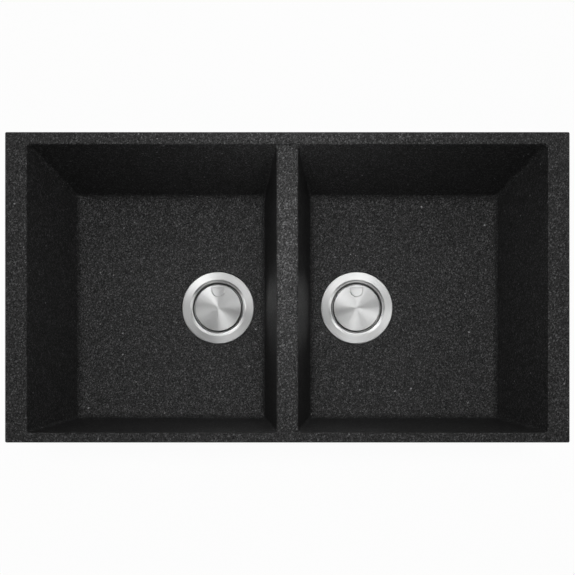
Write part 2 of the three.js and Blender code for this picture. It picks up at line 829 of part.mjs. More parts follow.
const wastePieces = [
  ['strainer_flange', strainerFlange(), 'brushedSteel'],
  ['flange_seal', flangeSeal(), 'rubber'],
  ['underside_seal', undersideSeal(), 'rubber'],
  ['waste_body', wasteBody(), 'plastic'],
  ['hub_nut', hubNut(), 'brass'],
  ['clamp_screw', clampScrew(), 'brushedSteel'],
  ['basket', basket(), 'brushedSteel'],
  ['basket_seal', basketSeal(), 'rubber'],
  ['seal_washer', sealWasher(), 'brushedSteel'],
  ['stem', stem(), 'brushedSteel'],
  ['stem_grip', stemGrip(), 'plastic'],
  ['cover', cover(), 'brushedSteel'],
  ['cover_clip', coverClip(), 'plastic'],
];

function waste(label, side) {
  const group = new THREE.Group();
  group.position.set(side * drainX, drainY, flangeHeight);
  wastePieces.forEach(([name, solid, finish]) => group.add(piece(`${label}_${name}`, solid, finish)));
  return group;
}

const sink = new THREE.Group();
sink.add(piece('sink_body', sinkBody(), 'composite'));
sink.add(waste('left', -1));
sink.add(waste('right', 1));

export default sink;
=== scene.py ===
import json
import math

import bmesh
import bpy
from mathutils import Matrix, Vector


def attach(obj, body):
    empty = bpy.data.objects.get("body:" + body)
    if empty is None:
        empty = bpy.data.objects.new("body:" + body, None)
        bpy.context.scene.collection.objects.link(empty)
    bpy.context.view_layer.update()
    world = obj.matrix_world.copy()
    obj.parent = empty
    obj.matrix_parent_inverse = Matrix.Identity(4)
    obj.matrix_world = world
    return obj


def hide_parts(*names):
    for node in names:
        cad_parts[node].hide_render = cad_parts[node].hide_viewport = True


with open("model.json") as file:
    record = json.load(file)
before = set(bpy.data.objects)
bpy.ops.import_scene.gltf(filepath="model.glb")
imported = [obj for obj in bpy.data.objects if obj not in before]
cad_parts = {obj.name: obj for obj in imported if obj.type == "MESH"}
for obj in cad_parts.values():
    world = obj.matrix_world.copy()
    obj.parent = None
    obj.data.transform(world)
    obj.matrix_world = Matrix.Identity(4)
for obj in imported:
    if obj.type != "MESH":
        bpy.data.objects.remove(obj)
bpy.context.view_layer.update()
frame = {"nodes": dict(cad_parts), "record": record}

# ---------------------------------------------------------------- sizes of the object, in millimetres

MM = 0.001
SIDES = {"left": -1, "right": 1}

RIM_TOP = 294.8
RIM_THICKNESS = 10.0
WIDTH, DEPTH = 760.0, 418.0
OUTLINE_RADIUS = 2.0
RIM_EDGE = 1.2
RIM_LOWER_EDGE = 0.8
BOWL_NEAR, BOWL_FAR = 14.1, 350.6
BOWL_FRONT, BOWL_BACK = -195.6, 192.5
BOWL_DEPTH = 195.0
DRAFT_ACROSS, DRAFT_FRONT_BACK = math.radians(4.5), math.radians(3.4)
INNER_DRAFT_ACROSS, INNER_DRAFT_FRONT_BACK = math.radians(6.5), math.radians(5.9)
BOWL_CORNER = 5.0
FLOOR_FILLET, OUTER_FILLET = 17.0, 20.0
WALL = 8.0
FLOOR_THICKNESS = 9.0
UNDER_RIM_FILLET = 4.0
DIVIDER_DROP = 4.0
DIVIDER_EDGE = 3.0
DIVIDER_CORNER = 0.5
DIVIDER_END_FILLET = 1.0
FLOOR_FALL = 1.2
WEB_THICKNESS, WEB_DEPTH, WEB_PITCH, WEB_ROOT = 6.0, 62.0, 120.0, 1.0
DRAIN_X, DRAIN_Y = 109.7, -1.55

# Heights in a waste are measured from the top of its flange.
FLANGE_TOP = 99.0
FLANGE_RADIUS = 57.0
FLANGE_FALL = 0.45
SHEET = 1.2
THROAT = 39.9
LIP_CREST, LIP_FOOT = (44.4, 0), (42.3, -0.75)
CONE_TOP = (38.5, -38.0)
CONE_FOOT = (30.0, -45.0)
CUP_FLOOR = -57.3
SEAT = -3.4
SEAT_RADIUS = 57.6
SEAT_EDGE = 0.8
WASTE_HOLE = 45.0
BOSS_RADIUS = 63.0
BOSS_BOTTOM = -11.4
SCREW_HOLE = 3.3
DRAIN_HOLE, DRAIN_CIRCLE, DRAIN_HOLES = 4.2, 18.5, 8
SEAL_BORE = 46.0
FLANGE_SEAL_RADIUS, FLANGE_SEAL_BOTTOM, FLANGE_SEAL_TOP = 54.5, -3.1, -1.5
UNDER_SEAL_BOTTOM, UNDER_SEAL_TOP, UNDER_SEAL_GROOVE = -14.7, -11.7, 0.25

# The funnel, with the hub that holds the nut.
FUNNEL_RADIUS, FUNNEL_TOP, FUNNEL_FLANGE = 57.0, -15.0, 4.0
OUTLET_TOP, OUTLET_END, OUTLET_BORE, OUTLET_RADIUS = -71.0, -99.0, 19.4, 23.9
GUSSET_THICKNESS, GUSSETS = 3.0, 6
ARM_REACH, ARM_THICKNESS, ARM_TOP, ARMS = 21.9, 4.0, -68.5, 3
HUB_RADIUS, HUB_TOP, HUB_END = 12.0, -62.0, -80.5
NUT_RADIUS, NUT_TOP, NUT_END = 8.3, -69.7, -78.3

# The clamp screw with its hollow head, and the threads: their pitch and depth, and their two ends.
SCREW_RADIUS, SCREW_TIP = 3.0, -77.0
HEAD_RADIUS, HEAD_BORE, HEAD_TOP, HEAD_BOTTOM, HEAD_BORE_END = 7.5, 4.2, -47.0, -57.0, -55.0
HEAD_SLOT_WIDTH, HEAD_SLOT_DEPTH = 2, 2.5
PIPE_THREAD, PIPE_THREAD_ENDS = (2.309, 1.1), (-98.0, -76.5)
SCREW_THREAD, SCREW_THREAD_ENDS = (1.0, 0.5), (-76.5, -60.0)
THREAD_STEEPNESS = 2.6

# What lifts out: the basket with its stopper, washer, stem and grip.
BASKET_RADIUS, BASKET_TOP, BASKET_RIM_END = 38.8, -8.0, -9.6
BASKET_FLOOR, BASKET_UNDERSIDE, BASKET_FLOOR_RADIUS = -33.0, -33.9, 29.5
FLOOR_SLOT, WALL_SLOT, SLOT_WIDTH, SLOTS = (11.0, 25.0), (-25.5, -15.5), 2.6, 10
STEM_HOLE, STEM_RADIUS, STEM_TAIL_RADIUS, STEM_TOP, STEM_END = 4.3, 4.0, 2.2, -3.0, -51.0
STOPPER_RADIUS, STOPPER_TOP, STOPPER_BOTTOM = 33.55, -34.2, -41.7
WASHER_RADIUS, WASHER_TOP, WASHER_BOTTOM = 14.0, -42.0, -43.2
GRIP_BORE, GRIP_HEAD_RADIUS, GRIP_TOP, GRIP_END, GRIP_SLOT = 2.5, 6.5, -43.5, -54.0, 1.2

# The cover with its finger recess, and its clip.
COVER_RADIUS = 36.3
COVER_DOME = 0.85
COVER_EDGE = 0.55
COVER_SHEET, COVER_FOOT = 1.0, -5.0
RECESS_OUTER, RECESS_INNER, RECESS_HALF_WIDTH, RECESS_STRAIGHT = 32.5, 17.3, 10.3, 4.9
RECESS_DEPTH, RECESS_DRAFT = 1.6, 0.9
RECESS_CORNER, RECESS_LIP, RECESS_FOOT = 1.6, 0.5, 0.5
CLIP_RADIUS, CLIP_TOP, CLIP_END, CLIP_GROOVES = 9.0, -1.3, -14.0, 12

# How far a cutting tool runs past what it cuts, and the corner radius of one that cuts a sharp corner.
OVERRUN = 5.0
ALMOST_SHARP = 0.1

# How finely round shapes are divided.
ROUND, SMALL_ROUND, HOLE_ROUND, HEXAGON = 120, 48, 32, 6
CORNER_STEPS, ARC_STEPS, RECESS_STEPS, DOME_STEPS = 10, 5, 6, 12
SMALL_EDGE_ANGLES = 0, 0.52, 1.05, math.pi / 2
SHARP_ANGLE = math.radians(30)
# Above 50, the larger faces count for more than their share of the area in a weighted normal.
NORMAL_WEIGHT = 100

# ---------------------------------------------------------------- camera

# In millimetres, with the height counted from the rim.
CAMERA_HEIGHT = 1105.0
FRAME_WIDTH = 773.5
CAMERA_X, CAMERA_Y = 0.2, -175.4
SENSOR = 36
SHIFT_IN_PIXELS, FRAME_PIXELS = 130.1, 575
camera_data = bpy.data.cameras.new("camera")
camera_data.sensor_width = SENSOR
camera_data.lens = SENSOR * CAMERA_HEIGHT / FRAME_WIDTH
camera_data.shift_y = SHIFT_IN_PIXELS / FRAME_PIXELS
camera = bpy.data.objects.new("camera", camera_data)
camera.location = (CAMERA_X * MM, CAMERA_Y * MM, (RIM_TOP + CAMERA_HEIGHT) * MM)
bpy.context.scene.collection.objects.link(camera)
bpy.context.scene.camera = camera
bpy.context.scene.view_settings.view_transform = "Standard"

# ---------------------------------------------------------------- solids, each as its points and its faces


def quarter_turn(steps=ARC_STEPS):
    """The angles that divide a quarter of a circle."""
    return [math.pi / 2 * k / steps for k in range(steps + 1)]


def rounded(corners, steps=ARC_STEPS):
    """The points of a path (radius, height), where a third number is the radius of the arc at that corner."""
    path = []
    for i, corner in enumerate(corners):
        if len(corner) == 2:
            path.append(corner)
            continue
        here = Vector(corner[:2])
        back = (Vector(corners[i - 1][:2]) - here).normalized()
        ahead = (Vector(corners[(i + 1) % len(corners)][:2]) - here).normalized()
        half = back.angle(ahead) / 2
        centre = here + (back + ahead).normalized() * corner[2] / math.sin(half)
        start = here + back * corner[2] / math.tan(half) - centre
        end = here + ahead * corner[2] / math.tan(half) - centre
        first = math.atan2(start.y, start.x)
        sweep = (math.atan2(end.y, end.x) - first + math.pi) % (2 * math.pi) - math.pi
        for k in range(steps + 1):
            angle = first + sweep * k / steps
            path.append((centre.x + corner[2] * math.cos(angle), centre.y + corner[2] * math.sin(angle)))
    return path


def sheet_section(path, thickness):
    """The closed section of a sheet: its visible side, and the same path one thickness to the left."""
    behind = []
    for i, here in enumerate(path):
        near = path[max(i - 1, 0):i + 2]
        sides = [(Vector(b) - Vector(a)).normalized() for a, b in zip(near, near[1:])]
        mean = sum(sides, Vector((0, 0))).normalized()
        reach = thickness / mean.dot(sides[0])
        behind.append((here[0] - mean.y * reach, here[1] + mean.x * reach))
    return list(path) + behind[::-1]


def lathe(section, steps=ROUND, swell=None):
    """A closed section turned round the z axis. swell(angle, radius, height) adds to the radius."""
    points, rows, faces = [], [], []
    for r, z in section:
        if r < 1e-6:
            rows.append([len(points)] * steps)
            points.append((0, 0, z))
            continue
        rows.append(list(range(len(points), len(points) + steps)))
        for k in range(steps):
            angle = 2 * math.pi * k / steps
            radius = r + (swell(angle, r, z) if swell else 0)
            points.append((radius * math.cos(angle), radius * math.sin(angle), z))
    for low, high in zip(rows, rows[1:] + rows[:1]):
        for k in range(steps):
            j = (k + 1) % steps
            face = list(dict.fromkeys((low[k], low[j], high[j], high[k])))
            if len(face) > 2:
                faces.append(face)
    return points, faces


def loft(rings):
    """A closed solid through rings of as many points each."""
    count = len(rings[0])
    faces = [list(range(count)), list(range((len(rings) - 1) * count, len(rings) * count))]
    for level in range(len(rings) - 1):
        for i in range(count):
            a, b = level * count + i, level * count + (i + 1) % count
            faces.append([a, b, b + count, a + count])
    return [p for ring in rings for p in ring], faces


def cylinder(radius, bottom, top, steps=SMALL_ROUND):
    return lathe([(0, bottom), (radius, bottom), (radius, top), (0, top)], steps)


def joined(solids):
    """Solids that don't touch, taken as one."""
    points, faces = [], []
    for more_points, more_faces in solids:
        faces += [[i + len(points) for i in face] for face in more_faces]
        points += more_points
    return points, faces


def moved(solid, x=0, y=0, z=0):
    return [(px + x, py + y, pz + z) for px, py, pz in solid[0]], solid[1]


def around(solid, count, offset=0.0):
    """The same solid repeated round the z axis, from an angle in degrees."""
    copies = []
    for i in range(count):
        angle = math.radians(offset + 360 * i / count)
        c, s = math.cos(angle), math.sin(angle)
        copies.append(([(x * c - y * s, x * s + y * c, z) for x, y, z in solid[0]], solid[1]))
    return joined(copies)


def mesh_object(name, solid):
    mesh = bpy.data.meshes.new(name)
    mesh.from_pydata(solid[0], [], solid[1])
    shape = bmesh.new()
    shape.from_mesh(mesh)
    bmesh.ops.recalc_face_normals(shape, faces=shape.faces)
    shape.to_mesh(mesh)
    shape.free()
    item = bpy.data.objects.new(name, mesh)
    bpy.context.scene.collection.objects.link(item)
    return item


def evaluated_mesh(item):
    bpy.context.view_layer.update()
    return bpy.data.meshes.new_from_object(item.evaluated_get(bpy.context.evaluated_depsgraph_get()))


def combined(base, tool, operation):
    """Two solids joined ("UNION"), cut ("DIFFERENCE") or kept where they overlap ("INTERSECT")."""
    items = [mesh_object("base", base), mesh_object("tool", tool)]
    modifier = items[0].modifiers.new("combine", "BOOLEAN")
    modifier.operation = operation
    modifier.object = items[1]
    modifier.solver = "MANIFOLD"
    mesh = evaluated_mesh(items[0])
    result = [tuple(v.co) for v in mesh.vertices], [list(p.vertices) for p in mesh.polygons]
    for item in items:
        bpy.data.meshes.remove(item.data)
    bpy.data.meshes.remove(mesh)
    return result


def rectangle(outline, radius, z, corner=CORNER_STEPS, side=1):
    """A ring of points round a rectangle (left, right, front, back) with rounded corners."""
    left, right, front, back = outline
    centres = [(right - radius, back - radius), (left + radius, back - radius),
               (left + radius, front + radius), (right - radius, front + radius)]
    arcs = []
    for quarter, (x, y) in enumerate(centres):
        angles = [math.radians(90 * (quarter + k / corner)) for k in range(corner + 1)]
        arcs.append([(x + radius * math.cos(a), y + radius * math.sin(a)) for a in angles])
    ring = []
    for quarter, points in enumerate(arcs):
        end, begin = points[-1], arcs[(quarter + 1) % 4][0]
        along = [(end[0] + (begin[0] - end[0]) * i / side, end[1] + (begin[1] - end[1]) * i / side)
                 for i in range(1, side)]
        ring += [(x, y, z) for x, y in points + along]
    return ring


def narrowed(outline, across, along):
    """A rectangle brought in by one amount at its left and right and another at its front and back."""
    left, right, front, back = outline
    return left + across, right - across, front + along, back - along


def grown(outline, by):
    return narrowed(outline, -by, -by)


def block(width, depth, low, high, x=0.0, y=0.0, edge=1.0):
    """A box with its lower edges rounded."""
    outline = (x - width / 2, x + width / 2, y - depth / 2, y + depth / 2)
    rings = [rectangle(grown(outline, -edge * (1 - math.sin(a))), edge, low + edge * (1 - math.cos(a)), 3)
             for a in SMALL_EDGE_ANGLES]
    return loft(rings + [rectangle(outline, edge, high, 3)])


def stadium(start, end, width, steps=8):
    """The outline of a slot with round ends, along the first of its two axes."""
    half = width / 2
    half_turn = [math.pi * (k / steps - 0.5) for k in range(steps + 1)]
    right = [(end - half + half * math.cos(a), half * math.sin(a)) for a in half_turn]
    left = [(start + half - half * math.cos(a), -half * math.sin(a)) for a in half_turn]
    return right + left


# ---------------------------------------------------------------- the moulded sink body


def bowl_outline(side):
    near, far = side * BOWL_NEAR, side * BOWL_FAR
    return min(near, far), max(near, far), BOWL_FRONT, BOWL_BACK


def wall_inset(depth, draft, total, fillet):
    """How far a drafted wall, with the fillet at its foot, has come in at a depth below the rim."""
    if depth <= total - fillet * (1 - math.sin(draft)):
        return depth * math.tan(draft)
    centre = total * math.tan(draft) + fillet * (1 - math.sin(draft)) / math.cos(draft)
    rise = depth - (total - fillet)
    return centre - math.sqrt(max(fillet ** 2 - rise ** 2, 0))


def bowl_ring(side, depth, outside=False, grow=0.0):
    """A ring round the inner or outer wall of a bowl at a depth below the rim, made wider by grow."""
    if outside:
        total, fillet, outwards = BOWL_DEPTH + FLOOR_THICKNESS, OUTER_FILLET, WALL
        drafts = DRAFT_ACROSS, DRAFT_FRONT_BACK
    else:
        total, fillet, outwards = BOWL_DEPTH, FLOOR_FILLET, 0.0
        drafts = INNER_DRAFT_ACROSS, INNER_DRAFT_FRONT_BACK
    across, along = (wall_inset(depth, draft, total, fillet) - outwards - grow for draft in drafts)
    outline = narrowed(bowl_outline(side), across, along)
    return rectangle(outline, BOWL_CORNER + outwards + grow, RIM_TOP - depth)


def fillet_depths(total, fillet, steps=12):
    """The depths of the rings that divide the fillet at the foot of a wall, from the floor upwards."""
    return [total - fillet * (1 - math.sin(math.pi / 2 * (1 - i / steps))) for i in range(steps + 1)]


def mouth_rings(outline, corner, edge, top):
    """The rings of an opening's rounded upper edge, and one well above it."""
    rings = [rectangle(grown(outline, edge * (1 - math.cos(a))), corner + edge * (1 - math.cos(a)),
                       top - edge * (1 - math.sin(a))) for a in quarter_turn()]
    return rings + [rectangle(grown(outline, edge), corner + edge, top + OVERRUN)]


def bowl_cavity(side):
    walls = [bowl_ring(side, depth) for depth in fillet_depths(BOWL_DEPTH, FLOOR_FILLET)]
    return loft(walls + mouth_rings(bowl_outline(side), BOWL_CORNER, RIM_EDGE, RIM_TOP))


def bowl_outside(side):
    """The outer form of a bowl, which flares out in a fillet to the underside of the rim."""
    depths = fillet_depths(BOWL_DEPTH + FLOOR_THICKNESS, OUTER_FILLET)
    rings = [bowl_ring(side, depth, True) for depth in depths]
    for a in quarter_turn():
        depth = RIM_THICKNESS + UNDER_RIM_FILLET * (1 - math.sin(a))
        flare = WALL + UNDER_RIM_FILLET * (1 - math.cos(a))
        across, along = (depth * math.tan(draft) - flare for draft in (DRAFT_ACROSS, DRAFT_FRONT_BACK))
        outline = narrowed(bowl_outline(side), across, along)
        rings.append(rectangle(outline, BOWL_CORNER + flare, RIM_TOP - depth))
    top = [(x, y, RIM_TOP - RIM_THICKNESS / 2) for x, y, _ in rings[-1]]
    return loft(rings + [top])


def rim_slab():
    outline = (-WIDTH / 2, WIDTH / 2, -DEPTH / 2, DEPTH / 2)
    low = [rectangle(grown(outline, -RIM_LOWER_EDGE * (1 - math.sin(a))), OUTLINE_RADIUS,
                     RIM_TOP - RIM_THICKNESS + RIM_LOWER_EDGE * (1 - math.cos(a))) for a in quarter_turn()]
    high = [rectangle(grown(outline, -RIM_EDGE * (1 - math.cos(a))), OUTLINE_RADIUS,
                      RIM_TOP - RIM_EDGE * (1 - math.sin(a))) for a in quarter_turn()]
    return loft(low + high)


def floor_slope(side):
    """The shallow fall of the floor, from a round edge at the waste to a straight one near the walls."""
    corner_steps, side_steps, levels = 4, 14, 8
    under_fillet, past_flange = 1.0, 0.3
    across, along = (wall_inset(BOWL_DEPTH, draft, BOWL_DEPTH, FLOOR_FILLET) + under_fillet
                     for draft in (INNER_DRAFT_ACROSS, INNER_DRAFT_FRONT_BACK))
    outer = rectangle(narrowed(bowl_outline(side), across, along), BOWL_CORNER, 0, corner_steps, side_steps)
    first = 45 - 180 * corner_steps / len(outer)
    radius = FLANGE_RADIUS + past_flange
    inner = []
    for i in range(len(outer)):
        angle = math.radians(first + 360 * i / len(outer))
        inner.append((side * DRAIN_X + radius * math.cos(angle), DRAIN_Y + radius * math.sin(angle)))
    rings = []
    for level in range(levels + 1):
        t = level / levels
        z = RIM_TOP - BOWL_DEPTH - FLOOR_FALL * (1 - t * t * (3 - 2 * t))
        rings.append([(a[0] + (b[0] - a[0]) * t, a[1] + (b[1] - a[1]) * t, z) for a, b in zip(inner, outer)])
    return loft(rings + [[(x, y, z + OVERRUN) for x, y, z in rings[-1]]])


def waste_seat():
    """What is cut for a waste: its hole, and the recess in the floor that the flange lies in."""
    floor = RIM_TOP - BOWL_DEPTH - FLOOR_FALL - FLANGE_TOP
    low, high = BOSS_BOTTOM - OVERRUN, OVERRUN + 1
    edge = [(SEAT_RADIUS + SEAT_EDGE * (1 - math.cos(a)), floor - SEAT_EDGE * (1 - math.sin(a)))
            for a in quarter_turn()]
    return lathe(rounded([(0, low), (WASTE_HOLE, low), (WASTE_HOLE, SEAT), (SEAT_RADIUS, SEAT, 0.5)])
                 + edge + [(SEAT_RADIUS + SEAT_EDGE, high), (0, high)])


def divider_tools():
    """What lowers the divider below the rim, and rounds its long edges out to the corners of the bowls."""
    top = RIM_TOP - DIVIDER_DROP
    reach = BOWL_NEAR + BOWL_CORNER + RIM_EDGE
    outline = (-reach, reach, BOWL_FRONT, BOWL_BACK)
    foot = [rectangle(grown(outline, -DIVIDER_END_FILLET * (1 - math.sin(a))), DIVIDER_CORNER,
                      top + DIVIDER_END_FILLET * (1 - math.cos(a))) for a in quarter_turn()]
    tools = [loft(foot + mouth_rings(outline, DIVIDER_CORNER, RIM_EDGE, RIM_TOP))]
    for side in SIDES.values():
        rings = [bowl_ring(side, DIVIDER_DROP + DIVIDER_EDGE * (1 - math.sin(a)),
                           grow=DIVIDER_EDGE * (1 - math.cos(a))) for a in quarter_turn(8)]
        rings.append([(x, y, top + 2) for x, y, _ in rings[-1]])
        ends = []
        for depth in (DIVIDER_DROP + DIVIDER_EDGE + 1, 0):
            between = narrowed(outline, 0, depth * math.tan(INNER_DRAFT_FRONT_BACK))
            ends.append(rectangle(between, ALMOST_SHARP, RIM_TOP - depth))
        tools.append(combined(loft(rings), loft(ends), "INTERSECT"))
    return tools


def sink_body():
    solid = rim_slab()
    boss = lathe(rounded([(0, BOSS_BOTTOM), (BOSS_RADIUS, BOSS_BOTTOM, 1.5), (BOSS_RADIUS, -4), (0, -4)]))
    for side in SIDES.values():
        solid = combined(solid, bowl_outside(side), "UNION")
        solid = combined(solid, moved(boss, side * DRAIN_X, DRAIN_Y, FLANGE_TOP), "UNION")
    web_low = RIM_TOP - RIM_THICKNESS - WEB_DEPTH + WEB_ROOT
    web_width = 2 * (BOWL_NEAR + (RIM_THICKNESS + WEB_DEPTH) * math.tan(DRAFT_ACROSS)) - WALL
    for i in (-1, 0, 1):
        web = block(web_width, WEB_THICKNESS, web_low, web_low + WEB_DEPTH, y=DRAIN_Y + i * WEB_PITCH)
        solid = combined(solid, web, "UNION")
    for side in SIDES.values():
        seat = moved(waste_seat(), side * DRAIN_X, DRAIN_Y, FLANGE_TOP)
        for tool in (bowl_cavity(side), floor_slope(side), seat):
            solid = combined(solid, tool, "DIFFERENCE")
    for tool in divider_tools():
        solid = combined(solid, tool, "DIFFERENCE")
    return solid


# ---------------------------------------------------------------- the pieces of a waste


def strainer_flange():
    path = rounded([
        (FLANGE_RADIUS, -2.2), (FLANGE_RADIUS, -FLANGE_FALL, 1.25), (*LIP_CREST, 2.5), (*LIP_FOOT, 1.2),
        (THROAT, -0.95, 1.25), (*CONE_TOP, 4), (*CONE_FOOT, 3), (CONE_FOOT[0], CUP_FLOOR, 3),
        (SCREW_HOLE, CUP_FLOOR),
    ], 8)
    drain = moved(cylinder(DRAIN_HOLE, CUP_FLOOR - OVERRUN, CUP_FLOOR + OVERRUN, HOLE_ROUND), DRAIN_CIRCLE)
    return combined(lathe(sheet_section(path, SHEET)), around(drain, DRAIN_HOLES), "DIFFERENCE")


def ring_section(inner, outer, bottom, top, edge=0.4):
    return rounded([(inner, bottom, edge), (outer, bottom, edge), (outer, top, edge), (inner, top, edge)])


def flange_seal():
    return lathe(ring_section(SEAL_BORE, FLANGE_SEAL_RADIUS, FLANGE_SEAL_BOTTOM, FLANGE_SEAL_TOP))


def underside_seal():
    """A washer whose top has three shallow grooves."""
    radii = (55.5, 54, 52.5, 51, 49.5, 48, 47)
    ribs = [(r, UNDER_SEAL_TOP - UNDER_SEAL_GROOVE * (i % 2)) for i, r in enumerate(radii)]
    return lathe(rounded([(SEAL_BORE, UNDER_SEAL_BOTTOM, 0.4), (FUNNEL_RADIUS, UNDER_SEAL_BOTTOM, 0.6),
                          (FUNNEL_RADIUS, UNDER_SEAL_TOP, 0.6)]) + ribs + [(SEAL_BORE, UNDER_SEAL_TOP)])


def thread(radius, pitch, depth, low, high):
    """A swell that cuts a thread into the shaft of that radius, running out at both its ends."""
    def swell(angle, r, z):
        if abs(r - radius) > 1e-6:
            return 0
        phase = (z / pitch - angle / (2 * math.pi)) % 1
        ridge = 1 - min(abs(phase - 0.5) * THREAD_STEEPNESS, 1)
        fade = max(0.0, min((z - low) / pitch, (high - z) / pitch, 1.0))
        return -depth * (1 - ridge) * fade
    return swell


def threaded_length(radius, low, high, steps):
    """The points of a shaft along its thread, close enough to carry it."""
    return [(radius, low + (high - low) * k / steps) for k in range(steps + 1)]


def waste_body():
    """The funnel under the floor, with gussets outside and a hub on arms inside that holds the nut."""
    flange_foot = FUNNEL_TOP - FUNNEL_FLANGE
    section = rounded([(SEAL_BORE, FUNNEL_TOP, 0.5), (44, -55, 6), (OUTLET_BORE, OUTLET_TOP, 4),
                       (OUTLET_BORE, OUTLET_END, 0.5), (OUTLET_RADIUS, OUTLET_END, 0.5)])
    section += threaded_length(OUTLET_RADIUS, *PIPE_THREAD_ENDS, 70)
    section += rounded([(OUTLET_RADIUS, OUTLET_TOP - 2.5, 2), (46.5, -56.25, 6), (48.5, flange_foot, 1.5),
                        (FUNNEL_RADIUS, flange_foot, 0.6), (FUNNEL_RADIUS, FUNNEL_TOP, 0.6)])
    gusset_outline = ((47, FUNNEL_TOP - 1), (55.5, FUNNEL_TOP - 1), (55.5, -20.6), (45, -43))
    gusset_faces = -GUSSET_THICKNESS / 2, GUSSET_THICKNESS / 2
    gusset = loft([[(x, y, z) for x, z in gusset_outline] for y in gusset_faces])
    arm = block(ARM_REACH, ARM_THICKNESS, HUB_END, ARM_TOP, x=ARM_REACH / 2, edge=0.8)
    hub = lathe(rounded([(0, HUB_END), (HUB_RADIUS, HUB_END, 1), (HUB_RADIUS, HUB_TOP, 1), (0, HUB_TOP)]),
                SMALL_ROUND)
    additions = [around(gusset, 1, 360 * i / GUSSETS) for i in range(GUSSETS)] + [hub]
    additions += [around(arm, 1, 90 + 360 * i / ARMS) for i in range(ARMS)]
    solid = lathe(section, swell=thread(OUTLET_RADIUS, *PIPE_THREAD, *PIPE_THREAD_ENDS))
    for addition in additions:
        solid = combined(solid, addition, "UNION")
    pocket = cylinder(NUT_RADIUS, NUT_END, NUT_TOP, HEXAGON)
    hole = cylinder(SCREW_HOLE, NUT_TOP - 0.3, HUB_TOP + OVERRUN)
    return combined(solid, combined(pocket, hole, "UNION"), "DIFFERENCE")


def clamp_screw():
    """The screw, with a hollow head that has a slot across it."""
    shank = threaded_length(SCREW_RADIUS, *SCREW_THREAD_ENDS, 80)
    head = rounded([(SCREW_RADIUS, HEAD_BOTTOM, 0.4), (HEAD_RADIUS, HEAD_BOTTOM, 0.6),
                    (HEAD_RADIUS, HEAD_TOP, 1), (HEAD_BORE, HEAD_TOP, 0.4),
                    (HEAD_BORE, HEAD_BORE_END, 0.6), (0, HEAD_BORE_END)])
    screw = lathe([(0, SCREW_TIP), (2.4, SCREW_TIP)] + shank + head, SMALL_ROUND,
                  thread(SCREW_RADIUS, *SCREW_THREAD, *SCREW_THREAD_ENDS))
    slot = block(24, HEAD_SLOT_WIDTH, HEAD_TOP - HEAD_SLOT_DEPTH, HEAD_TOP + 7, edge=0.5)
    return combined(screw, slot, "DIFFERENCE")


def basket():
    stem_seat = -32.9
    section = rounded([
        (BASKET_RADIUS, BASKET_RIM_END, 0.3), (BASKET_RADIUS, BASKET_TOP, 0.6), (37.45, BASKET_TOP, 0.6),
        (BASKET_FLOOR_RADIUS, BASKET_FLOOR, 2.5), (9.2, BASKET_FLOOR, 1), (8.2, stem_seat, 0.5),
        (STEM_HOLE, stem_seat), (STEM_HOLE, BASKET_UNDERSIDE), (30.16, BASKET_UNDERSIDE, 3.4),
        (37.9, BASKET_RIM_END, 0.2),
    ])
    floor_slot = loft([[(x, y, z) for x, y in stadium(*FLOOR_SLOT, SLOT_WIDTH)]
                       for z in (BASKET_FLOOR - OVERRUN, BASKET_FLOOR + OVERRUN)])
    wall_slot = loft([[(r, v, u) for u, v in stadium(*WALL_SLOT, SLOT_WIDTH)] for r in (26, 41)])
    tools = joined([around(floor_slot, SLOTS), around(wall_slot, SLOTS, 180 / SLOTS)])
    return combined(lathe(section), tools, "DIFFERENCE")


def basket_seal():
    """The stopper: a lip that widens upwards, a shallow groove in its top and a collar round the stem."""
    collar, face, groove = 9, -38.2, -38.6
    return lathe(rounded([
        (STEM_HOLE, STOPPER_BOTTOM), (STOPPER_RADIUS, STOPPER_BOTTOM, 0.3), (36.36, -39.3, 0.3),
        (33, groove, 1.5), (27, face, 1), (26, groove, 0.5), (20, groove, 0.5), (19, face, 0.5),
        (collar, face, 1), (collar, STOPPER_TOP, 0.5), (STEM_HOLE, STOPPER_TOP),
    ]))


def seal_washer():
    return lathe(ring_section(STEM_HOLE, WASHER_RADIUS, WASHER_BOTTOM, WASHER_TOP, 0.35), SMALL_ROUND)


def stem():
    """The post of the basket, with a thin tail, a collar on the basket's floor and a groove below its top."""
    collar, collar_foot, collar_top, groove = 7, -32.7, -30.7, 3.6
    return lathe(rounded([
        (0, STEM_END), (STEM_TAIL_RADIUS, STEM_END, 0.4), (STEM_TAIL_RADIUS, WASHER_BOTTOM),
        (STEM_RADIUS, WASHER_BOTTOM, 0.3), (STEM_RADIUS, collar_foot), (collar, collar_foot, 0.3),
        (collar, collar_top, 0.7), (4.6, collar_top, 0.5), (STEM_RADIUS, -29.5, 0.5),
        (STEM_RADIUS, -8, 0.3), (groove, -7.7, 0.2), (groove, -6.9, 0.2), (STEM_RADIUS, -6.6, 0.3),
        (STEM_RADIUS, STEM_TOP, 1), (0, STEM_TOP),
    ]), SMALL_ROUND)


def stem_grip():
    """The plug that snaps into the head of the clamp screw, split crosswise from below."""
    neck, head_foot = 3.4, -45
    grip = lathe(rounded([
        (GRIP_BORE, GRIP_END, 0.2), (3.3, GRIP_END, 0.3), (3.9, -52.5, 0.5), (neck, -50.5, 0.8),
        (neck, head_foot, 0.3), (GRIP_HEAD_RADIUS, head_foot, 0.4), (GRIP_HEAD_RADIUS, GRIP_TOP, 0.4),
        (GRIP_BORE, GRIP_TOP, 0.2),
    ]), SMALL_ROUND)
    outline = (-6, 6, -GRIP_SLOT / 2, GRIP_SLOT / 2)
    slot = loft([rectangle(outline, ALMOST_SHARP, z, 1) for z in (-60, -48.3, -48)])
    return combined(grip, combined(slot, around(slot, 1, 90), "UNION"), "DIFFERENCE")


def dome(r):
    """The height of the cover's domed top at a distance from its middle."""
    return -COVER_DOME * (r / COVER_RADIUS) ** 2


